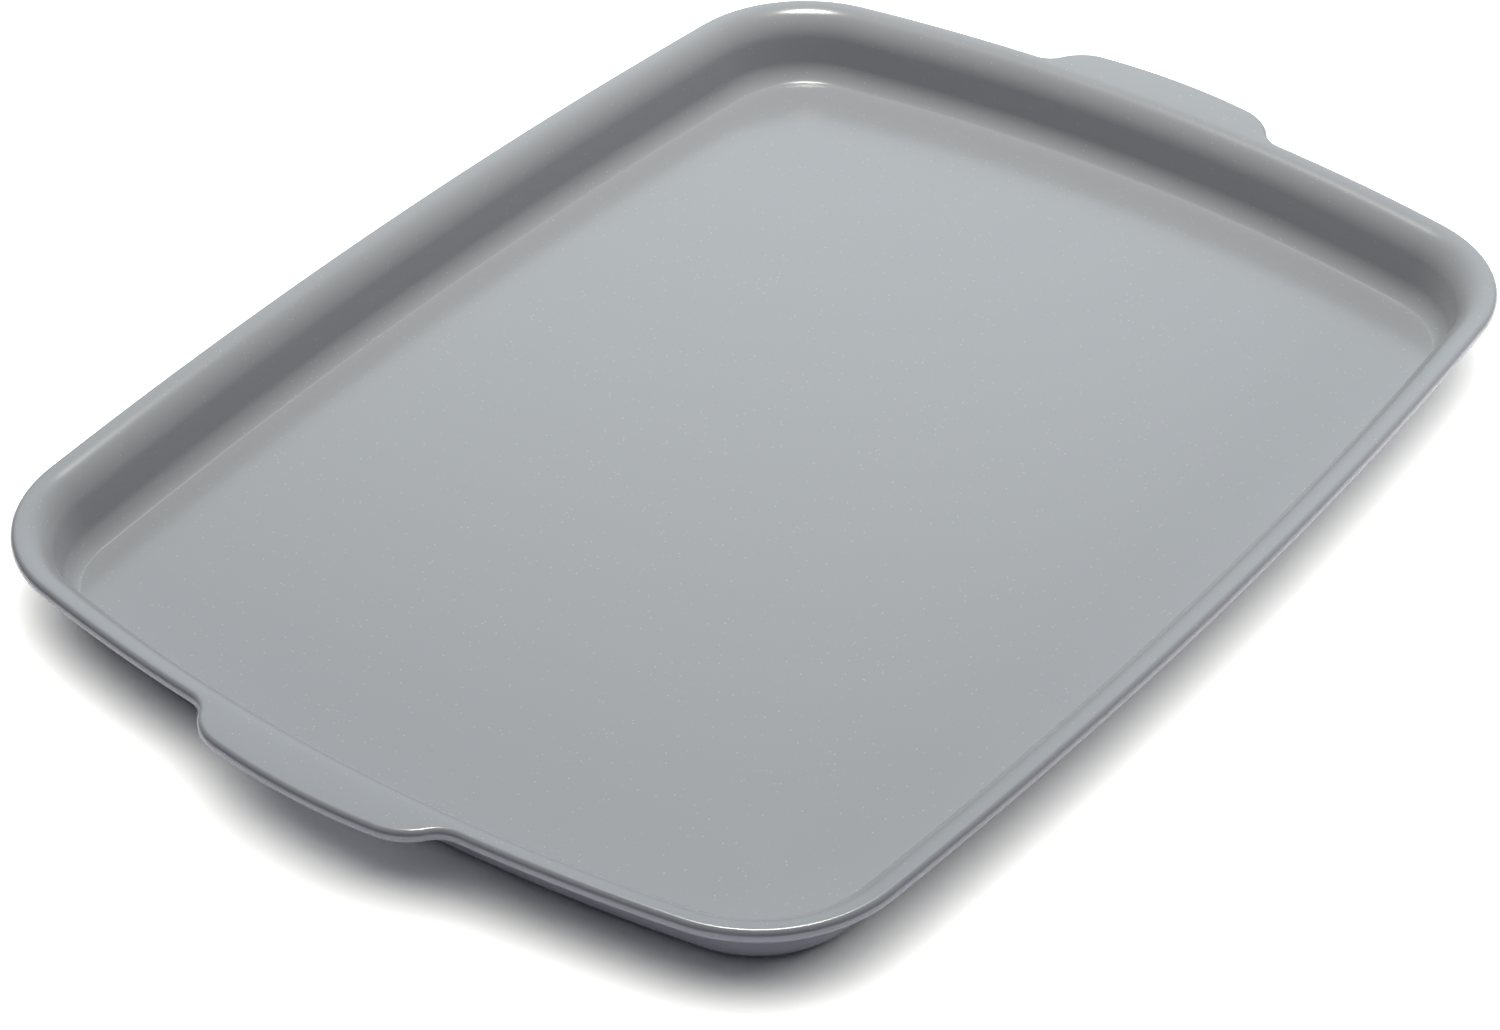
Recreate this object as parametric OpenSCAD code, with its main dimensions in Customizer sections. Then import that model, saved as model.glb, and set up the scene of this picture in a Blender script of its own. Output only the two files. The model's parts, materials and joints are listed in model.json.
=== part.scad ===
// Jelly roll pan pressed from one steel sheet, with a wire rolled into its edge.
// Long axis along X, short axis along Y, the underside on Z = 0.

/* [Plan] */
// Length over the rolled edge at mid-width, without the two handles
rim_l = 460; // [380:5:560]
// Width over the rolled edge at mid-length
rim_w = 342; // [290:2:420]
// Radius of the rim at the four corners
corner_r = 51; // [42:0.5:70]
// Radius of the gentle outward bow of the two long sides
long_bow_r = 2120; // [1600:20:6000]
// Radius of the gentle outward bow of the two short sides
short_bow_r = 654; // [500:2:1500]

/* [Section] */
// Height of the rim above the table
rim_h = 26.2; // [20:0.2:50]
// Thickness of the steel sheet
sheet_t = 0.8; // [0.5:0.05:1.2]
// Lean of the wall away from upright, in degrees
draft = 9; // [4:0.5:25]
// Inside radius of the cove at the foot of the wall
cove_r = 9.5; // [7:0.5:11]
// Inside radius of the crease between the cove and the floor
crease_r = 1.2; // [0.8:0.1:3]
// Angle that the crease turns through, in degrees
crease_turn = 30; // [15:1:40]
// Radius over which the wall flares out to the rim
flare_r = 11.5; // [7:0.5:13]
// Width of the flange left between flare and rolled edge
flange_w = 0.3; // [0.1:0.1:6]
// Upward slope of the flange and handles, in degrees
flange_rise = 4.4; // [1:0.2:8]

/* [Handles] */
// Width of a handle where it leaves the rim
handle_w = 103.4; // [92:0.2:124]
// How far a handle stands out past the rim
handle_reach = 12.7; // [10:0.1:18]
// Radius of the hollow at the foot of a handle
foot_r = 10; // [6:0.5:14]
// Radius of a handle's shoulder
shoulder_r = 20; // [14:0.5:26]
// Radius of a handle's crowned outer edge
crown_r = 334; // [260:2:480]

/* [Rolled edge] */
// Diameter of the wire inside the rolled edge
wire_d = 2.1; // [1.6:0.1:3]
// Clearance between the wire and the roll around it
wire_gap = 0.05; // [0.03:0.01:0.2]
// Height of the flat face between the two bends of the roll
roll_flat = 0.65; // [0.3:0.05:2]
// Gap between the end of the roll and the flange above it
seam_gap = 0.5; // [0.3:0.1:1]

/* [Hidden] */
// Steps of each arc of the section and of the plan
crease_steps = 2;
cove_steps = 3;
flare_steps = 4;
bend_steps = 3;
roll_steps = 4;
wire_sides = 2 * roll_steps;
foot_steps = 4;
shoulder_steps = 6;
crown_steps = 2;
side_steps = 2;
corner_steps = 11;
long_steps = 3;

// The roll wraps the wire: its bends share the wire's centre line
wire_r = wire_d / 2;
roll_in_r = wire_r + wire_gap;
roll_r = roll_in_r + sheet_t;

// Section, as [distance out from the rim line, height]
wall_angle = 90 - draft;
bend_z = rim_h - roll_r;
wire_z = bend_z - roll_flat;
flange_end = [-roll_r * (1 + sin(flange_rise)), bend_z + roll_r * cos(flange_rise)];
flare_end = flange_end - flange_w * [cos(flange_rise), sin(flange_rise)];
flare_c = flare_end + flare_r * [sin(flange_rise), -cos(flange_rise)];
flare_start = flare_c + flare_r * [-sin(wall_angle), cos(wall_angle)];
cove_start = crease_turn - 90;
cove_cz = sheet_t + crease_r - (cove_r - crease_r) * sin(cove_start);
wall_foot_z = cove_cz - cove_r * cos(wall_angle);
wall_run = (flare_start[1] - wall_foot_z) / tan(wall_angle);
cove_c = [flare_start[0] - wall_run - cove_r * sin(wall_angle), cove_cz];
crease_c = cove_c + (cove_r - crease_r) * [cos(cove_start), sin(cove_start)];
// The roll's inner leaf ends the seam gap below the underside of the flare
leaf_top = flare_c[1] + sqrt(pow(flare_r - sheet_t, 2) - pow(2 * roll_r + flare_c[0], 2)) - seam_gap;

// Centres of the bowed sides, and of the corner arc that touches both
long_c = [0, rim_w / 2 - long_bow_r];
short_c = [rim_l / 2 - short_bow_r, 0];
corner_c = arcs_meet(long_c, long_bow_r - corner_r, short_c, short_bow_r - corner_r);
short_end = bearing(corner_c - short_c);
long_end = bearing(corner_c - long_c);

// The handle's outline, as [distance along the rim, reach]: the hollow foot, the shoulder
// and the crown are arcs, each tangent to the next
crown_c = [0, handle_reach - crown_r];
foot_c = [handle_w / 2, foot_r];
shoulder_c = arcs_meet(foot_c, foot_r + shoulder_r, crown_c, crown_r - shoulder_r);
crown_turn = 90 - bearing(shoulder_c - crown_c);
flank_turn = 90 - bearing(foot_c - shoulder_c);

function bearing(v) = atan2(v[1], v[0]);
function ray(a) = [cos(a), sin(a)];
function along(a, b, steps) = [for (i = [0:steps]) a + (b - a) * i / steps];
function arc(c, r, a, b, steps) = [for (t = along(a, b, steps)) c + r * ray(t)];
function arc_on(c, r, a, b, steps) = [for (i = [1:steps]) c + r * ray(a + (b - a) * i / steps)];
function flip(list) = [for (i = [len(list) - 1:-1:0]) list[i]];

// Point where circles about a and b meet, to the right of the way from a to b
function arcs_meet(a, ra, b, rb) =
    let (d = norm(b - a), u = (b - a) / d, k = (ra * ra - rb * rb + d * d) / (2 * d))
    a + k * u + sqrt(ra * ra - k * k) * [u[1], -u[0]];

// A station is [rim point, rim normal, edge point, edge normal, reach]
function plain(c, r, a) = [c + r * ray(a), ray(a), c + r * ray(a), ray(a), 0];

// Station on a handle, for a point [distance along the rim, reach] of its outline where
// the edge has turned through turn
function on_handle(p, turn) =
    let (a = p[0] / short_bow_r * 180 / PI, rim = short_c + short_bow_r * ray(a))
    [rim, ray(a), rim + p[1] * ray(a), ray(a + turn), p[1]];

function handle_stations() = concat(
    [for (t = along(0, crown_turn, crown_steps))
        let (p = crown_c + crown_r * [sin(t), cos(t)]) on_handle(p, t)],
    [for (i = [1:shoulder_steps])
        let (t = crown_turn + (flank_turn - crown_turn) * i / shoulder_steps,
            p = shoulder_c + shoulder_r * [sin(t), cos(t)])
        on_handle(p, t)],
    [for (i = [1:foot_steps])
        let (t = flank_turn * (1 - i / foot_steps), p = foot_c - foot_r * [sin(t), cos(t)])
        on_handle(p, t)]);

// Stations from the middle of a short side to the middle of a long side
foot_end = handle_w / 2 / short_bow_r * 180 / PI;
quarter = concat(
    handle_stations(),
    [for (i = [1:side_steps - 1])
        plain(short_c, short_bow_r, foot_end + (short_end - foot_end) * i / side_steps)],
    [for (t = along(short_end, long_end, corner_steps)) plain(corner_c, corner_r, t)],
    [for (i = [1:long_steps])
        plain(long_c, long_bow_r, long_end + (90 - long_end) * i / long_steps)]);

function scaled(s, k) = [for (i = [0:3]) [s[i][0] * k[0], s[i][1] * k[1]]];
function mirrored(stations, k) = [for (s = stations) concat(scaled(s, k), s[4])];
function inner_part(list) = [for (i = [1:len(list) - 2]) list[i]];
stations = concat(
    quarter,
    flip(inner_part(mirrored(quarter, [-1, 1]))),
    mirrored(quarter, [-1, -1]),
    flip(inner_part(mirrored(quarter, [1, -1]))));

// Points of the section that follow the rim, from the flare's top down inside to the floor
floor_and_flare = concat(
    arc(crease_c, crease_r, -90, cove_start, crease_steps),
    arc_on(cove_c, cove_r, cove_start, -draft, cove_steps),
    arc(flare_c, flare_r, 180 - draft, 90 + flange_rise, flare_steps));
flare_and_base = concat(
    arc(flare_c, flare_r - sheet_t, 90 + flange_rise, 180 - draft, flare_steps - 1),
    arc(cove_c, cove_r + sheet_t, -draft, cove_start, cove_steps),
    arc_on(crease_c, crease_r + sheet_t, cove_start, -90, crease_steps));

// Points of the section that follow the edge, out round the roll and back inside it
roll = concat(
    arc([-roll_r, bend_z], roll_r, 90 + flange_rise, 0, bend_steps),
    arc([-roll_r, wire_z], roll_r, 0, -180, roll_steps + 1),
    [[-2 * roll_r, leaf_top], [-2 * roll_r + sheet_t, leaf_top]],
    arc([-roll_r, wire_z], roll_in_r, -180, 0, roll_steps),
    arc([-roll_r, bend_z], roll_in_r, 0, 90 + flange_rise, bend_steps - 1));

function by_rim(s, q) = [each s[0] + q[0] * s[1], q[1]];
function by_edge(s, q) = [each s[2] + q[0] * s[3], q[1] + s[4] * tan(flange_rise)];
function sheet_ring(s) = concat(
    [for (q = floor_and_flare) by_rim(s, q)],
    [for (q = roll) by_edge(s, q)],
    [for (q = flare_and_base) by_rim(s, q)]);
function wire_ring(s) = [
    for (i = [0:wire_sides - 1]) by_edge(s, [-roll_r, wire_z] + wire_r * ray(-360 * i / wire_sides))];

// Skin between neighbouring rings of n points each, right round the loop
function skin(rings, n, sides) = [
    for (j = [0:rings - 1], i = [0:sides - 1])
        let (a = j * n, b = (j + 1) % rings * n, k = (i + 1) % n)
        each [[a + i, b + i, b + k], [a + i, b + k, a + k]]];

module pan_body() {
    rings = [for (s = stations) sheet_ring(s)];
    n = len(rings[0]);
    top = [for (j = [0:len(rings) - 1]) j * n];
    base = [for (j = [len(rings) - 1:-1:0]) j * n + n - 1];
    color("#9fa5a9")
        polyhedron(
            points = [for (r = rings) each r],
            faces = concat(skin(len(rings), n, n - 1), [flip(top), flip(base)]));
}

module rim_wire() {
    rings = [for (s = stations) wire_ring(s)];
    color("#b9bcc0")
        polyhedron(
            points = [for (r = rings) each r],
            faces = skin(len(rings), wire_sides, wire_sides));
}

pan_body();
rim_wire();
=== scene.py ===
"""Jelly roll pan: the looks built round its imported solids.

Metres, with the long axis along X and the pan's underside on Z = 0.
"""

import json
from math import atan2, cos, pi, radians, sin, sqrt, tan

import bmesh
import bpy
from bpy.props import FloatProperty, FloatVectorProperty, PointerProperty
from bpy.types import Operator, Panel, PropertyGroup
from mathutils import Matrix, Vector

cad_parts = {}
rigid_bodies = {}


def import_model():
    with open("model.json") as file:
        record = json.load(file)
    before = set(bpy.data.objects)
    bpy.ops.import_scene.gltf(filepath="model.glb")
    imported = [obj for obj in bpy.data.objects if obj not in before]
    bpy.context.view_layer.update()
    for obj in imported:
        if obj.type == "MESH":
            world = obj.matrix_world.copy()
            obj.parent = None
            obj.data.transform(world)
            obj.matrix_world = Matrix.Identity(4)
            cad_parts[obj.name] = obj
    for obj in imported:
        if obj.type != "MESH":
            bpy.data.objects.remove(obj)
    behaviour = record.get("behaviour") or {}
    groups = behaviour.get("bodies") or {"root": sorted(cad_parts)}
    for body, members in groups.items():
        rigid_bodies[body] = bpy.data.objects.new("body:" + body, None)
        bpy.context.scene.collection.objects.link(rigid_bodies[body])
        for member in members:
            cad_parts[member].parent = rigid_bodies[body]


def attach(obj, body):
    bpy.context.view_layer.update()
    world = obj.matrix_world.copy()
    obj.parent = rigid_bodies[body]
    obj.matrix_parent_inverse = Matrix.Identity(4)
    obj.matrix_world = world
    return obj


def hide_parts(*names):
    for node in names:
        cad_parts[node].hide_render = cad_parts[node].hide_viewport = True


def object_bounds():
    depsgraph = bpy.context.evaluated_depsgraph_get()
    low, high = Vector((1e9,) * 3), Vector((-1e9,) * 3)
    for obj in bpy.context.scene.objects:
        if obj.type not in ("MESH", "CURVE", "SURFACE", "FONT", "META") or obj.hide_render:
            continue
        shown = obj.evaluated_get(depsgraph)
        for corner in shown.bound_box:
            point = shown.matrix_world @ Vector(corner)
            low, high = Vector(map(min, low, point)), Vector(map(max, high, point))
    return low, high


bl_info = {
    "name": "Jelly Roll Pan",
    "version": (1, 0, 0),
    "blender": (4, 5, 0),
    "location": "View3D > Sidebar > Pan",
    "description": "Builds a coated jelly roll pan with a wire-rolled edge and two handles",
    "category": "Object",
}

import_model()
CAD_BOX = [list(corner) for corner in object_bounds()]
CAD_SIZE = [high - low for low, high in zip(*CAD_BOX)]

# Steps of each bend of the plan, over a quarter of the pan
CROWN_STEPS, SHOULDER_STEPS, FOOT_STEPS = 8, 18, 14
SHORT_STEPS, CORNER_STEPS, LONG_STEPS = 8, 30, 14
# Steps of each bend of the section. The underside and the inside of the roll, which hardly
# show, have fewer.
CREASE_STEPS, COVE_STEPS, FLARE_STEPS, FLARE_UNDER_STEPS = 5, 14, 14, 12
BEND_STEPS, BEND_INSIDE_STEPS, ROLL_STEPS, ROLL_INSIDE_STEPS = 10, 8, 20, 16
WIRE_SIDES, TABLE_SIDES = 20, 64
# Widths of the rings inside the floor's edge, which keep the bend's shading off the floor
FLOOR_RINGS = (0.0005, 0.002, 0.008)
# Edges that turn more than this are drawn sharp
SHEET_SHARP, WIRE_SHARP = radians(40), radians(60)
# Points that lie closer than this are merged
MERGE = 1e-6

# The camera, fitted to the outlines of the pan in the photograph
PHOTO_WIDTH, FOCAL_PIXELS = 1500, 3930.92
SENSOR_WIDTH = 36.0
FOCAL_LENGTH = SENSOR_WIDTH * FOCAL_PIXELS / PHOTO_WIDTH
CAMERA_AZIMUTH, CAMERA_ELEVATION, CAMERA_ROLL = -0.935057, 0.657547, 0.005237
CAMERA_TARGET = (-0.0318390, -0.0094397, 0)
CAMERA_CLIP = 0.05, 50.0


def linear(hex_colour):
    """Turns an sRGB hex colour into linear red, green and blue."""
    parts = [int(hex_colour[i : i + 2], 16) / 255 for i in (1, 3, 5)]
    return [p / 12.92 if p <= 0.04045 else ((p + 0.055) / 1.055) ** 2.4 for p in parts]


def length(name, description, default):
    """A length property, in metres."""
    return FloatProperty(
        name=name,
        description=description,
        default=default,
        min=0.0,
        subtype="DISTANCE",
        unit="LENGTH",
        precision=4,
    )


def angle(name, description, degrees):
    """An angle property, given in degrees."""
    return FloatProperty(
        name=name,
        description=description,
        default=radians(degrees),
        subtype="ANGLE",
        unit="ROTATION",
    )


def amount(name, description, default):
    """A plain number property."""
    return FloatProperty(name=name, description=description, default=default)


def colour_of(name, description, hex_colour):
    """A colour property, given as sRGB hex."""
    return FloatVectorProperty(
        name=name, description=description, subtype="COLOR", default=linear(hex_colour)
    )


class PanSheet(PropertyGroup):
    """Sizes of the pressed sheet"""

    handle_reach: length("Handle reach", "How far a handle stands out past the rim", 0.0127)
    rim_width: length("Rim width", "Width over the rolled edge at mid-length", 0.342)
    corner_radius: length("Corner radius", "Radius of the rim at the corners", 0.051)
    long_bow: length("Long side bow", "Radius of the bow of a long side", 2.120)
    short_bow: length("Short side bow", "Radius of the bow of a short side", 0.654)
    rim_height: length("Rim height", "Height of the rim above the table", 0.0262)
    sheet: length("Sheet", "Thickness of the steel sheet", 0.0008)
    draft: angle("Draft", "Lean of the wall away from upright", 9)
    cove_radius: length("Cove radius", "Inside radius at the foot of the wall", 0.0095)
    crease_radius: length("Crease radius", "Inside radius of the crease round the floor", 0.0012)
    crease_turn: angle("Crease turn", "Angle that the crease turns through", 30)
    flare_radius: length("Flare radius", "Radius over which the wall flares to the rim", 0.0115)
    flange: length("Flange", "Flat left between the flare and the rolled edge", 0.0003)
    rise: angle("Rise", "Upward slope of the flange and the handles", 4.4)


class PanHandle(PropertyGroup):
    """Sizes of a handle's outline"""

    width: length("Width", "Width where the handle leaves the rim", 0.1034)
    foot_radius: length("Foot radius", "Radius of the hollow at the handle's foot", 0.010)
    shoulder_radius: length("Shoulder radius", "Radius of the handle's shoulder", 0.020)
    crown_radius: length("Crown radius", "Radius of the handle's crowned edge", 0.334)


class RolledEdge(PropertyGroup):
    """Sizes of the rolled edge and of the wire in it"""

    wire: length("Wire", "Diameter of the wire", 0.0021)
    clearance: length("Clearance", "Gap between the wire and the roll", 0.00005)
    flat: length("Flat", "Height of the flat between the two bends of the roll", 0.00065)
    seam: length("Seam", "Gap between the end of the roll and the flange above", 0.0005)


class CoatFinish(PropertyGroup):
    """Looks of the sprayed coat"""

    colour: colour_of("Coat", "Grey of the coat", "#A7A8AE")
    fleck_and_glint: colour_of("Fleck", "Pale grey of a mineral fleck", "#C8C9CC")
    roughness: FloatProperty(
        name="Roughness",
        description="Roughness of the satin surface",
        default=0.2,
        min=0.0,
        max=1.0,
        subtype="FACTOR",
    )
    fleck_spacing: length("Fleck spacing", "Size of the cells, of which a few hold a fleck", 0.0012)
    fleck_from: amount("Fleck from", "Random value from which a cell holds a faint fleck", 0.87)
    fleck_full: amount("Fleck full", "Random value from which its fleck is full", 0.95)
    fleck_edge: amount("Fleck edge", "Radius at which a fleck has faded out, in cells", 0.25)
    fleck_core: amount("Fleck core", "Radius up to which a fleck is full, in cells", 0.12)
    patch_size: length("Patch size", "Size of the patches that differ in roughness", 0.03)
    patch_spread: amount("Patch spread", "How much smoother or rougher a patch gets", 0.02)
    peel_size: length("Peel size", "Size of the low bumps of the sprayed coat", 0.0012)
    peel_height: length("Peel height", "Height of the low bumps", 0.0002)
    peel_strength: amount("Peel strength", "Share of that height that shows", 0.05)


class WireFinish(PropertyGroup):
    """Looks of the wire"""

    colour: colour_of("Steel", "Grey of the drawn steel", "#B9BCC0")
    mark_size: length("Mark size", "Size of the marks that the die leaves", 0.0004)
    smoothest: amount("Smoothest", "Roughness of the smoothest spots", 0.28)
    roughest: amount("Roughest", "Roughness of the roughest spots", 0.42)


class StageLook(PropertyGroup):
    """Camera and light"""

    distance: length("Distance", "From the camera to the middle of the view", 1.27278)
    lamp_width: length("Lamp width", "Width of the lamp", 0.24)
    lamp_height: length("Lamp height", "Height of the lamp's face", 0.18)
    lamp_distance: length("Lamp distance", "From the lamp to the pan", 0.95)
    lamp_azimuth: angle("Lamp bearing", "Bearing of the lamp in the plan, from +X", 34)
    lamp_elevation: angle("Lamp elevation", "Height of the lamp above the horizon", 72)
    lamp_power: amount("Lamp power", "Power of the lamp, in watts", 7.7)
    lamp_tint: colour_of("Lamp tint", "Tint of the lamp", "#FEFFF5")
    side_size: length("Side light size", "Diameter of the side light", 0.3)
    side_distance: length("Side light distance", "From the side light to the pan", 0.5)
    side_azimuth: angle("Side light bearing", "Bearing of the side light, from +X", -62)
    side_elevation: angle("Side light elevation", "Height of the side light", 4)
    side_power: amount("Side light power", "Power of the side light, in watts", 0.75)
    front_size: length("Front light size", "Diameter of the front light", 0.4)
    front_distance: length("Front light distance", "From the front light to the pan", 0.6)
    front_azimuth: angle("Front light bearing", "Bearing of the front light, from +X", -155)
    front_elevation: angle("Front light elevation", "Height of the front light", 4)
    front_power: amount("Front light power", "Power of the front light, in watts", 0.17)
    softbox_size: length("Softbox size", "Diameter of the soft light over the table", 3.6)
    softbox_distance: length("Softbox distance", "From the soft light to the pan", 1.1)
    softbox_azimuth: angle("Softbox bearing", "Bearing of the soft light, from +X", 24)
    softbox_elevation: angle("Softbox elevation", "Height of the soft light", 65)
    softbox_power: amount("Softbox power", "Power of the soft light, in watts", 47)
    back_azimuth: angle("Back bearing", "Bearing of the white background in reflections", 33)
    back_elevation: angle("Back elevation", "Elevation of the white background's middle", 38)
    back_focus: amount("Back focus", "Power by which the background fades to the front", 5)
    back_level: amount("Back level", "Strength of the background in reflections", 1.95)
    front_level: amount("Front level", "Strength of the front in reflections", 0.1)
    room_level: amount("Room level", "Strength of the light that the room adds", 0.055)
    room_back: amount("Room back", "Strength of the light that the background adds", 0.16)
    room_colour: colour_of("Room tint", "Tint of the room's light", "#E4E4FF")
    back_colour: colour_of("Back tint", "Tint of the background", "#E3F4FF")
    table_radius: length("Table radius", "Radius of the round table top", 0.85)
    table_gap: length("Table gap", "Hair's breadth between the table and the pan", 0.0001)
    table_gain: amount("Table gain", "Brightening of the table as the camera sees it", 2.1)
    bounce_tint: colour_of("Bounce tint", "Colour of the table's bounced light", "#DCDCE8")
    contact_reach: length("Contact reach", "How far the contact shadow reaches", 0.025)
    contact_depth: amount("Contact depth", "Power by which the contact shadow darkens", 0.5)
    table_tint: colour_of("Table tint", "Tint of the table", "#FFFFF8")


def add(tree, kind, settings=None, **links):
    """Adds a shader node with its settings, and sets or links the inputs named by their labels."""
    node = tree.nodes.new(kind)
    for name, value in (settings or {}).items():
        setattr(node, name, value)
    for name, value in links.items():
        key = int(name[1:]) if name[0] == "i" and name[1:].isdigit() else name.replace("_", " ")
        socket = node.inputs[key]
        if isinstance(value, bpy.types.NodeSocket):
            tree.links.new(value, socket)
        else:
            socket.default_value = value
    return node


def new_material(name):
    """An empty material with only its output, and that output."""
    material = bpy.data.materials.new(name)
    material.use_nodes = True
    tree = material.node_tree
    tree.nodes.clear()
    return material, tree, tree.nodes.new("ShaderNodeOutputMaterial")


def opaque(colour):
    """A colour with full alpha, for a colour socket."""
    return (*colour, 1.0)


def satin_ceramic_coat(look):
    """Ceramic coat, sprayed on steel and baked.

    To the eye it is an even grey with a satin sheen: a lamp shows in it as a soft bright band,
    and the room only as a slow change of brightness. Close by it shows pale mineral flecks, whose
    pale grey is partly their own colour and partly painted glint that stands in for their sparkle.
    """
    material, tree, out = new_material("sprayed_ceramic_coat")
    place = add(tree, "ShaderNodeTexCoord").outputs["Object"]
    # Real flecks are about 0.1 mm wide, too fine to show. These are drawn 0.3 to 0.6 mm wide,
    # in about one out of ten cells of 1.2 mm.
    cells = add(
        tree,
        "ShaderNodeTexVoronoi",
        {"feature": "F1"},
        Vector=place,
        Scale=1 / look.fleck_spacing,
    )
    chosen = add(
        tree,
        "ShaderNodeMapRange",
        {"interpolation_type": "SMOOTHSTEP"},
        Value=add(tree, "ShaderNodeSeparateColor", Color=cells.outputs["Color"]).outputs[0],
        From_Min=look.fleck_from,
        From_Max=look.fleck_full,
    )
    near = add(
        tree,
        "ShaderNodeMapRange",
        Value=cells.outputs["Distance"],
        From_Min=look.fleck_edge,
        From_Max=look.fleck_core,
    )
    flecks_and_glints = add(
        tree,
        "ShaderNodeMath",
        {"operation": "MULTIPLY"},
        i0=chosen.outputs[0],
        i1=near.outputs[0],
    ).outputs[0]
    # The flecks' pale grey is partly the mineral's own colour and partly painted glint: their
    # sparkle under the lamp, painted into the base colour.
    tint = add(
        tree,
        "ShaderNodeMix",
        {"data_type": "RGBA"},
        i0=flecks_and_glints,
        i6=opaque(look.colour),
        i7=opaque(look.fleck_and_glint),
    ).outputs[2]
    # The spray leaves patches, some 30 mm wide, that are a little smoother or rougher.
    patches = add(
        tree, "ShaderNodeTexNoise", Vector=place, Scale=1 / look.patch_size, Detail=3.0
    ).outputs[0]
    roughness = add(
        tree,
        "ShaderNodeMapRange",
        Value=patches,
        To_Min=look.roughness - look.patch_spread,
        To_Max=look.roughness + look.patch_spread,
    ).outputs[0]
    # The low bumps of a sprayed coat are about a millimetre wide and soften its highlights.
    peel = add(
        tree, "ShaderNodeTexNoise", Vector=place, Scale=1 / look.peel_size, Detail=2.0
    ).outputs[0]
    bump = add(
        tree,
        "ShaderNodeBump",
        Strength=look.peel_strength,
        Distance=look.peel_height,
        Height=peel,
    ).outputs["Normal"]
    shader = add(
        tree,
        "ShaderNodeBsdfPrincipled",
        Base_Color=tint,
        Roughness=roughness,
        Normal=bump,
        IOR=1.5,
    )
    tree.links.new(shader.outputs[0], out.inputs["Surface"])
    return material


def drawn_steel_wire(look):
    """Steel wire, drawn through a die.

    To the eye it is bright grey metal with small marks that break up its shine. The roll
    hides it.
    """
    material, tree, out = new_material("drawn_steel_wire")
    place = add(tree, "ShaderNodeTexCoord").outputs["Object"]
    marks = add(
        tree, "ShaderNodeTexNoise", Vector=place, Scale=1 / look.mark_size, Detail=2.0
    ).outputs[0]
    roughness = add(
        tree,
        "ShaderNodeMapRange",
        Value=marks,
        To_Min=look.smoothest,
        To_Max=look.roughest,
    ).outputs[0]
    shader = add(
        tree,
        "ShaderNodeBsdfPrincipled",
        Base_Color=opaque(look.colour),
        Metallic=1.0,
        Roughness=roughness,
    )
    tree.links.new(shader.outputs[0], out.inputs["Surface"])
    return material


def arcs_meet(a, ra, b, rb):
    """Point where circles about a and b meet, to the right of the way from a to b."""
    way = b - a
    far = way.length
    u = way / far
    k = (ra * ra - rb * rb + far * far) / (2 * far)
    return a + k * u + sqrt(ra * ra - k * k) * Vector((u.y, -u.x))


def bearing(v):
    """Angle of a vector of the plan, from +X."""
    return atan2(v.y, v.x)


def ray(turn):
    """Unit vector at an angle from +X."""
    return Vector((cos(turn), sin(turn)))


def steps(a, b, count):
    """Values after a, up to and with b."""
    return [a + (b - a) * i / count for i in range(1, count + 1)]


def stand(point, turn, lift=0.0):
    """Matrix that stands a section, drawn outwards along X, at a point of the plan."""
    return Matrix.Translation((*point, lift)) @ Matrix.Rotation(turn, 4, "Z")


def quarter_round(pan, handle):
    """Places of the section from the middle of a short side to the middle of a long side.

    Each is (place of the part that follows the rim, place of the part that follows the edge).
    """
    half_length = CAD_SIZE[0] / 2 - pan.handle_reach
    short_c = Vector((half_length - pan.short_bow, 0))
    long_c = Vector((0, pan.rim_width / 2 - pan.long_bow))
    corner_c = arcs_meet(
        long_c, pan.long_bow - pan.corner_radius, short_c, pan.short_bow - pan.corner_radius
    )
    short_end = bearing(corner_c - short_c)
    long_end = bearing(corner_c - long_c)

    crown_c = Vector((0, pan.handle_reach - handle.crown_radius))
    foot_c = Vector((handle.width / 2, handle.foot_radius))
    shoulder_c = arcs_meet(
        foot_c,
        handle.foot_radius + handle.shoulder_radius,
        crown_c,
        handle.crown_radius - handle.shoulder_radius,
    )
    crown_turn = pi / 2 - bearing(shoulder_c - crown_c)
    flank_turn = pi / 2 - bearing(foot_c - shoulder_c)

    def on_handle(centre, radius, turn):
        """Places on a bend of the handle, laid out along the bowed short side."""
        along, reach = centre + radius * Vector((sin(turn), cos(turn)))
        swing = along / pan.short_bow
        rim = short_c + pan.short_bow * ray(swing)
        edge = rim + reach * ray(swing)
        return stand(rim, swing), stand(edge, swing + turn, reach * tan(pan.rise))

    def plain(centre, radius, swing):
        """Places beside the handles, where the edge follows the rim."""
        place = stand(centre + radius * ray(swing), swing)
        return place, place

    foot_end = handle.width / 2 / pan.short_bow
    return (
        [
            on_handle(crown_c, handle.crown_radius, t)
            for t in [0, *steps(0, crown_turn, CROWN_STEPS)]
        ]
        + [
            on_handle(shoulder_c, handle.shoulder_radius, t)
            for t in steps(crown_turn, flank_turn, SHOULDER_STEPS)
        ]
        + [on_handle(foot_c, -handle.foot_radius, t) for t in steps(flank_turn, 0, FOOT_STEPS)]
        + [plain(short_c, pan.short_bow, t) for t in steps(foot_end, short_end, SHORT_STEPS)]
        + [plain(corner_c, pan.corner_radius, t) for t in steps(short_end, long_end, CORNER_STEPS)]
        + [plain(long_c, pan.long_bow, t) for t in steps(long_end, pi / 2, LONG_STEPS)]
    )


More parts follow.
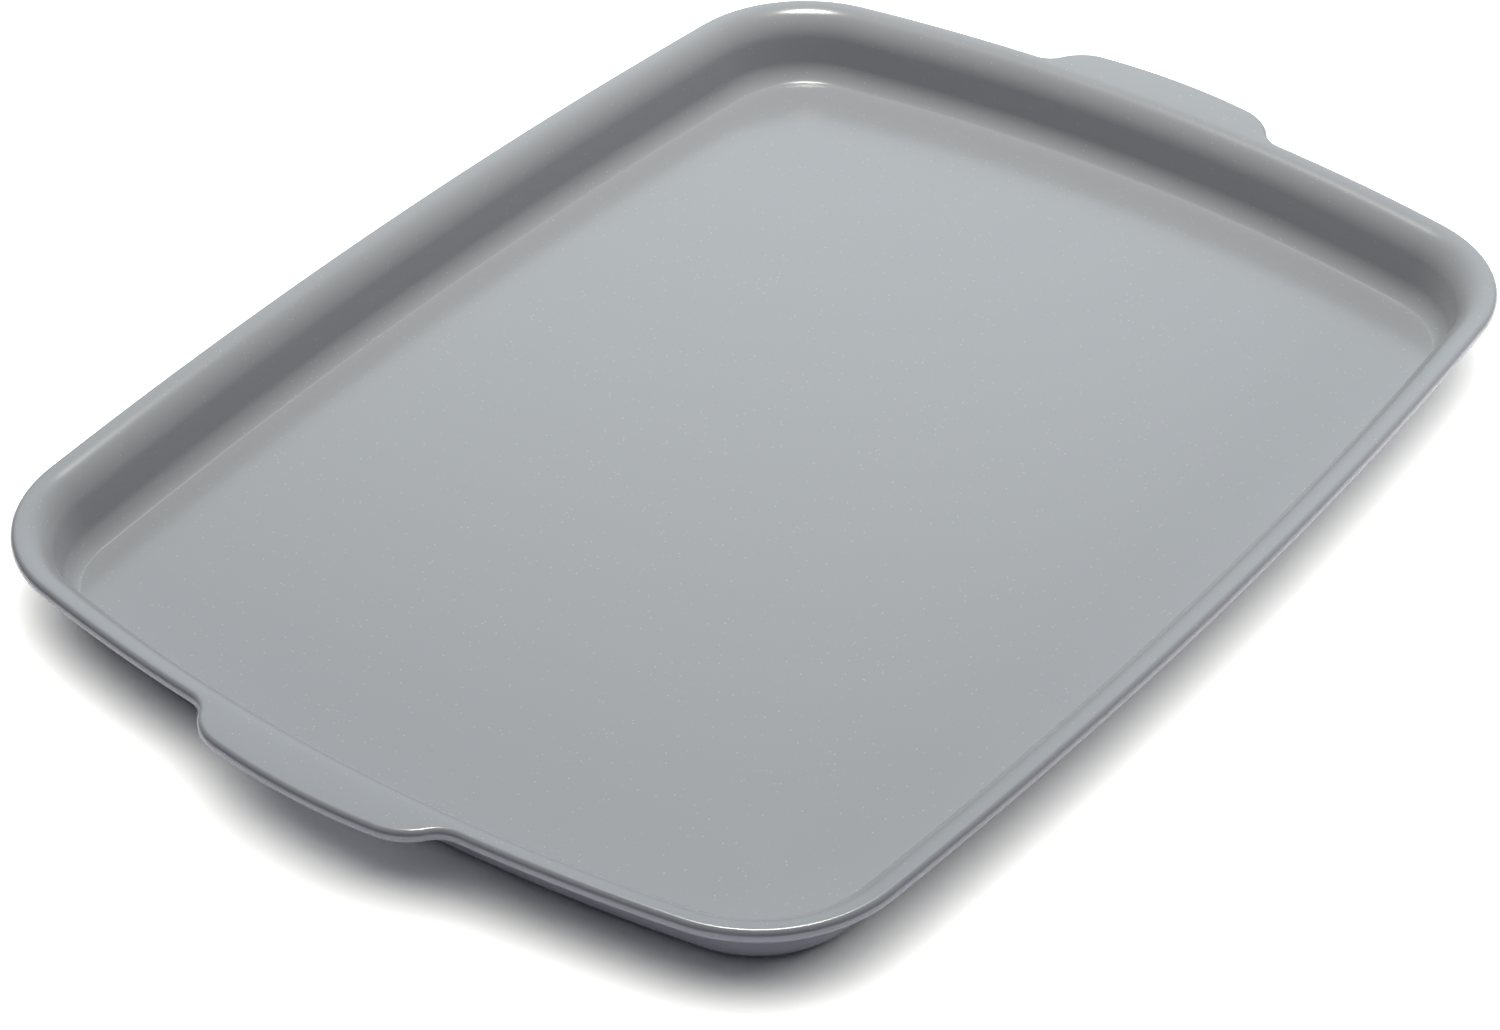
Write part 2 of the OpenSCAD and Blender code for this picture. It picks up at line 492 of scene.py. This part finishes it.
class Line:
    """A line of points in the section's plane, drawn out from its last point by bmesh operators."""

    def __init__(self, mesh, start):
        self.mesh = mesh
        self.points = [mesh.verts.new((start[0], 0, start[1]))]
        self.edges = []

    def to(self, u, z):
        """Draws a straight on to (u, z)."""
        new = bmesh.ops.extrude_vert_indiv(self.mesh, verts=[self.points[-1]])
        self.edges += new["edges"]
        self.points += new["verts"]
        self.points[-1].co = (u, 0, z)

    def round(self, centre, start, end, count):
        """Spins the last point about centre, from the angle start to end."""
        known = len(self.mesh.verts), len(self.mesh.edges)
        bmesh.ops.spin(
            self.mesh,
            geom=[self.points[-1]],
            cent=(centre[0], 0, centre[1]),
            axis=(0, -1, 0),
            angle=end - start,
            steps=count,
        )
        self.mesh.verts.ensure_lookup_table()
        self.mesh.edges.ensure_lookup_table()
        self.points += self.mesh.verts[known[0] :]
        self.edges += self.mesh.edges[known[1] :]


def swept_round(mesh, edges, follows_edge, places):
    """Carries a section round a quarter of the pan and mirrors it to the whole loop.

    The layer follows_edge says whether a point follows the rim (0) or the edge (1).
    """
    for at, place in enumerate(places):
        if at:
            new = bmesh.ops.extrude_edge_only(mesh, edges=edges)["geom"]
            verts = {g for g in new if isinstance(g, bmesh.types.BMVert)}
            edges = [
                g for g in new if isinstance(g, bmesh.types.BMEdge) and verts.issuperset(g.verts)
            ]
        else:
            verts = {v for e in edges for v in e.verts}
        for part in (0, 1):
            turn = place[part] @ places[at - 1][part].inverted() if at else place[part]
            moved = [v for v in verts if v[follows_edge] == part]
            if moved:
                bmesh.ops.transform(mesh, matrix=turn, verts=moved)
    for axis in "YX":
        bmesh.ops.mirror(
            mesh, geom=[*mesh.verts, *mesh.edges, *mesh.faces], axis=axis, merge_dist=MERGE
        )


def finished(mesh, name, material, sharp):
    """Turns a bmesh into an object with smooth faces that point outwards."""
    bmesh.ops.remove_doubles(mesh, verts=mesh.verts, dist=MERGE)
    bmesh.ops.recalc_face_normals(mesh, faces=mesh.faces)
    for face in mesh.faces:
        face.smooth = True
    data = bpy.data.meshes.new(name)
    mesh.to_mesh(data)
    mesh.free()
    data.set_sharp_from_angle(angle=sharp)
    data.materials.append(material)
    made = bpy.data.objects.new(name, data)
    bpy.context.scene.collection.objects.link(made)
    return made


class PAN_OT_body(Operator):
    """Builds the pressed sheet: floor, walls, flare, handles and rolled edge"""

    bl_idname = "pan.body"
    bl_label = "Pan body"

    def execute(self, context):
        pan, handle, roll = (
            context.scene.pan_sheet,
            context.scene.pan_handle,
            context.scene.rolled_edge,
        )
        sheet, lean, rise = pan.sheet, pan.draft, pan.rise
        inner = roll.wire / 2 + roll.clearance
        outer = inner + sheet
        bend_z = pan.rim_height - outer
        wire_z = bend_z - roll.flat
        flange_end = Vector((-outer * (1 + sin(rise)), bend_z + outer * cos(rise)))
        flare_end = flange_end - pan.flange * Vector((cos(rise), sin(rise)))
        flare_c = flare_end + pan.flare_radius * Vector((sin(rise), -cos(rise)))
        flare_start = flare_c + pan.flare_radius * Vector((-cos(lean), sin(lean)))
        crease = pan.crease_turn - pi / 2
        cove_z = sheet + pan.crease_radius - (pan.cove_radius - pan.crease_radius) * sin(crease)
        wall_foot_z = cove_z - pan.cove_radius * sin(lean)
        wall_run = (flare_start.y - wall_foot_z) * tan(lean)
        cove_c = Vector((flare_start.x - wall_run - pan.cove_radius * cos(lean), cove_z))
        crease_c = cove_c + (pan.cove_radius - pan.crease_radius) * ray(crease)
        leaf_c = 2 * outer + flare_c.x
        leaf_top = flare_c.y + sqrt((pan.flare_radius - sheet) ** 2 - leaf_c**2) - roll.seam

        mesh = bmesh.new()
        follows_edge = mesh.verts.layers.int.new("follows_edge")
        # Upper face, from the floor out to the flange
        line = Line(mesh, crease_c - Vector((0, pan.crease_radius)))
        line.round(crease_c, -pi / 2, crease, CREASE_STEPS)
        line.round(cove_c, crease, -lean, COVE_STEPS)
        line.to(*flare_start)
        line.round(flare_c, pi - lean, pi / 2 + rise, FLARE_STEPS)
        on_rim = len(line.points)
        # Over the edge, down, and under to the seam
        line.to(*flange_end)
        line.round((-outer, bend_z), pi / 2 + rise, 0, BEND_STEPS)
        line.to(0, wire_z)
        line.round((-outer, wire_z), 0, -pi, ROLL_STEPS)
        line.to(-2 * outer, leaf_top)
        # Back through the inside of the roll and along the underside
        line.to(-2 * outer + sheet, leaf_top)
        line.to(-outer - inner, wire_z)
        line.round((-outer, wire_z), -pi, 0, ROLL_INSIDE_STEPS)
        line.to(inner - outer, bend_z)
        line.round((-outer, bend_z), 0, pi / 2 + rise, BEND_INSIDE_STEPS)
        on_edge = len(line.points)
        line.to(*(flare_end + sheet * Vector((sin(rise), -cos(rise)))))
        line.round(flare_c, pi / 2 + rise, pi - lean, FLARE_UNDER_STEPS)
        line.to(*(cove_c + (pan.cove_radius + sheet) * ray(-lean)))
        line.round(cove_c, -lean, crease, COVE_STEPS)
        line.round(crease_c, crease, -pi / 2, CREASE_STEPS)
        for point in line.points[on_rim:on_edge]:
            point[follows_edge] = 1
        swept_round(mesh, line.edges, follows_edge, quarter_round(pan, handle))

        # The floor's upper and lower face
        for height in (sheet, 0.0):
            rim = [
                e for e in mesh.edges if e.is_boundary and abs(e.verts[0].co.z - height) < sheet / 4
            ]
            floor = bmesh.ops.contextual_create(mesh, geom=rim)["faces"]
            for width in FLOOR_RINGS:
                bmesh.ops.inset_region(mesh, faces=floor, thickness=width)
        if any(e.is_boundary for e in mesh.edges):
            raise RuntimeError("the sheet of the pan isn't closed")

        coat = satin_ceramic_coat(context.scene.coat_finish)
        body = finished(mesh, "pan_shell", coat, SHEET_SHARP)
        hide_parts("pan_body")
        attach(body, "root")
        return {"FINISHED"}


class PAN_OT_wire(Operator):
    """Builds the wire that the edge is rolled round"""

    bl_idname = "pan.wire"
    bl_label = "Rim wire"

    def execute(self, context):
        pan, handle, roll = (
            context.scene.pan_sheet,
            context.scene.pan_handle,
            context.scene.rolled_edge,
        )
        outer = roll.wire / 2 + roll.clearance + pan.sheet
        wire_z = pan.rim_height - outer - roll.flat
        mesh = bmesh.new()
        follows_edge = mesh.verts.layers.int.new("follows_edge")
        upright = Matrix.Translation((-outer, 0, wire_z)) @ Matrix.Rotation(pi / 2, 4, "X")
        bmesh.ops.create_circle(mesh, segments=WIRE_SIDES, radius=roll.wire / 2, matrix=upright)
        for point in mesh.verts:
            point[follows_edge] = 1
        swept_round(mesh, mesh.edges[:], follows_edge, quarter_round(pan, handle))
        steel = drawn_steel_wire(context.scene.wire_finish)
        wire = finished(mesh, "edge_wire", steel, WIRE_SHARP)
        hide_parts("rim_wire")
        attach(wire, "root")
        return {"FINISHED"}


class PAN_OT_stage(Operator):
    """Makes the table, the surroundings, the lights and the camera"""

    bl_idname = "pan.stage"
    bl_label = "Stage"

    def execute(self, context):
        look = context.scene.stage_look
        pieces = bpy.data.collections.new("pan_pieces")
        for piece in context.scene.objects:
            pieces.objects.link(piece)
        surroundings = bpy.data.collections.new("surroundings")

        # Matt white table: to the camera it is a plain white ground that holds the pan's soft
        # shadow, cast by the softbox, and is darker close to the pan through painted contact shade.
        material, tree, out = new_material("white_table")
        path = add(tree, "ShaderNodeLightPath").outputs
        # Painted contact shade: the occlusion factor, raised to a power, darkens the table's colour
        # close to the pan.
        contact = add(
            tree, "ShaderNodeAmbientOcclusion", {"samples": 8}, Distance=look.contact_reach
        ).outputs["AO"]
        painted_contact_shade = add(
            tree, "ShaderNodeMath", {"operation": "POWER"}, i0=contact, i1=look.contact_depth
        ).outputs[0]
        brightness = add(
            tree, "ShaderNodeMath", {"operation": "MULTIPLY"}, i0=painted_contact_shade, i1=look.table_gain
        ).outputs[0]
        bright = add(
            tree, "ShaderNodeVectorMath", {"operation": "SCALE"}, i0=look.table_tint, i3=brightness
        ).outputs[0]
        mirrored = add(
            tree,
            "ShaderNodeMath",
            {"operation": "MAXIMUM"},
            i0=path["Is Glossy Ray"],
            i1=path["Is Transmission Ray"],
        ).outputs[0]
        seen = add(
            tree, "ShaderNodeMath", {"operation": "MAXIMUM"}, i0=path["Is Camera Ray"], i1=mirrored
        ).outputs[0]
        tint = add(
            tree,
            "ShaderNodeMix",
            {"data_type": "RGBA"},
            i0=seen,
            i6=opaque(look.bounce_tint),
            i7=bright,
        ).outputs[2]
        diffuse = add(tree, "ShaderNodeBsdfDiffuse", Color=tint)
        tree.links.new(diffuse.outputs[0], out.inputs["Surface"])
        mesh = bmesh.new()
        under = Matrix.Translation((0, 0, -look.table_gap))
        bmesh.ops.create_circle(
            mesh, cap_ends=True, segments=TABLE_SIDES, radius=look.table_radius, matrix=under
        )
        data = bpy.data.meshes.new("table")
        mesh.to_mesh(data)
        mesh.free()
        data.materials.append(material)
        table = bpy.data.objects.new("table", data)
        context.scene.collection.objects.link(table)
        surroundings.objects.link(table)

        # The studio: plain white to the camera. In reflections it is bright behind the pan and
        # fades towards the front, and the matt light that it adds is dim.
        world = bpy.data.worlds.new("studio")
        context.scene.world = world
        world.use_nodes = True
        tree = world.node_tree
        tree.nodes.clear()
        path = add(tree, "ShaderNodeLightPath").outputs
        seen = add(
            tree,
            "ShaderNodeMath",
            {"operation": "MAXIMUM"},
            i0=path["Is Camera Ray"],
            i1=path["Is Transmission Ray"],
        ).outputs[0]
        towards = add(
            tree,
            "ShaderNodeVectorMath",
            {"operation": "DOT_PRODUCT"},
            i0=add(tree, "ShaderNodeTexCoord").outputs["Generated"],
            i1=heading(look.back_azimuth, look.back_elevation),
        ).outputs["Value"]
        fading = add(
            tree,
            "ShaderNodeMath",
            {"operation": "POWER"},
            i0=add(
                tree, "ShaderNodeMath", {"operation": "MAXIMUM"}, i0=towards, i1=0.0
            ).outputs[0],
            i1=look.back_focus,
        ).outputs[0]
        level = add(
            tree,
            "ShaderNodeMath",
            {"operation": "MULTIPLY_ADD"},
            i0=fading,
            i1=look.back_level,
            i2=look.front_level,
        ).outputs[0]
        soft = add(
            tree,
            "ShaderNodeMath",
            {"operation": "MULTIPLY_ADD"},
            i0=fading,
            i1=look.room_back,
            i2=look.room_level,
        ).outputs[0]
        room = add(
            tree, "ShaderNodeBackground", Color=opaque(look.room_colour), Strength=soft
        )
        mirrored = add(
            tree, "ShaderNodeBackground", Color=opaque(look.back_colour), Strength=level
        )
        white = add(tree, "ShaderNodeBackground", Color=opaque((1, 1, 1)), Strength=1.0)
        unseen = add(
            tree,
            "ShaderNodeMixShader",
            i0=path["Is Glossy Ray"],
            i1=room.outputs[0],
            i2=mirrored.outputs[0],
        )
        mixed = add(
            tree, "ShaderNodeMixShader", i0=seen, i1=unseen.outputs[0], i2=white.outputs[0]
        )
        tree.links.new(mixed.outputs[0], tree.nodes.new("ShaderNodeOutputWorld").inputs[0])

        # The lamp and the two low lights light only the pan, and the softbox only the table, so
        # that the shading and the shadow can both be the photograph's. Only the lamp is mirrored.
        for name, width, height, power, far, azimuth, elevation, lit in (
            (
                "lamp",
                look.lamp_width,
                look.lamp_height,
                look.lamp_power,
                look.lamp_distance,
                look.lamp_azimuth,
                look.lamp_elevation,
                pieces,
            ),
            (
                "side_light",
                look.side_size,
                look.side_size,
                look.side_power,
                look.side_distance,
                look.side_azimuth,
                look.side_elevation,
                pieces,
            ),
            (
                "front_light",
                look.front_size,
                look.front_size,
                look.front_power,
                look.front_distance,
                look.front_azimuth,
                look.front_elevation,
                pieces,
            ),
            (
                "softbox",
                look.softbox_size,
                look.softbox_size,
                look.softbox_power,
                look.softbox_distance,
                look.softbox_azimuth,
                look.softbox_elevation,
                surroundings,
            ),
        ):
            light = bpy.data.lights.new(name, "AREA")
            light.shape = "ELLIPSE"
            light.size, light.size_y = width, height
            light.energy = power
            light.color = look.lamp_tint if name == "lamp" else (1, 1, 1)
            lamp = bpy.data.objects.new(name, light)
            lamp.light_linking.receiver_collection = lit
            lamp.visible_glossy = name == "lamp"
            lamp.matrix_world = facing(heading(azimuth, elevation) * far, Vector((0, 0, 0)))
            context.scene.collection.objects.link(lamp)

        camera = bpy.data.cameras.new("camera")
        camera.sensor_width = SENSOR_WIDTH
        camera.lens = FOCAL_LENGTH
        camera.clip_start, camera.clip_end = CAMERA_CLIP
        view = bpy.data.objects.new("camera", camera)
        target = Vector(CAMERA_TARGET)
        back = heading(CAMERA_AZIMUTH - pi / 2, CAMERA_ELEVATION)
        view.matrix_world = facing(target + back * look.distance, target) @ Matrix.Rotation(
            CAMERA_ROLL, 4, "Z"
        )
        context.scene.collection.objects.link(view)
        context.scene.camera = view
        context.scene.view_settings.view_transform = "Standard"
        return {"FINISHED"}


def heading(azimuth, elevation):
    """Unit vector towards a bearing in the plan, counted from +X, and an elevation."""
    return Vector(
        (cos(azimuth) * cos(elevation), sin(azimuth) * cos(elevation), sin(elevation))
    )


def facing(place, target):
    """Matrix of a camera or lamp at place that looks at target, with its top side up."""
    turn = (target - place).to_track_quat("-Z", "Y").to_matrix().to_4x4()
    return Matrix.Translation(place) @ turn


class PAN_PT_tools(Panel):
    """Lists the pan's sizes and the steps that build it"""

    bl_label = "Jelly roll pan"
    bl_idname = "PAN_PT_tools"
    bl_space_type = "VIEW_3D"
    bl_region_type = "UI"
    bl_category = "Pan"

    def draw(self, context):
        for step in STEPS:
            self.layout.operator(step.bl_idname)
        for name in GROUPS:
            box = self.layout.box()
            settings = getattr(context.scene, name)
            for prop in settings.__annotations__:
                box.prop(settings, prop)


GROUPS = {
    "pan_sheet": PanSheet,
    "pan_handle": PanHandle,
    "rolled_edge": RolledEdge,
    "coat_finish": CoatFinish,
    "wire_finish": WireFinish,
    "stage_look": StageLook,
}
STEPS = [PAN_OT_body, PAN_OT_wire, PAN_OT_stage]
CLASSES = [*GROUPS.values(), *STEPS, PAN_PT_tools]


def register():
    for cls in CLASSES:
        bpy.utils.register_class(cls)
    for name, group in GROUPS.items():
        setattr(bpy.types.Scene, name, PointerProperty(type=group))


def unregister():
    for name in GROUPS:
        delattr(bpy.types.Scene, name)
    for cls in reversed(CLASSES):
        bpy.utils.unregister_class(cls)


def main():
    register()
    bpy.ops.pan.body()
    bpy.ops.pan.wire()
    bpy.ops.pan.stage()


if __name__ == "__main__":
    main()
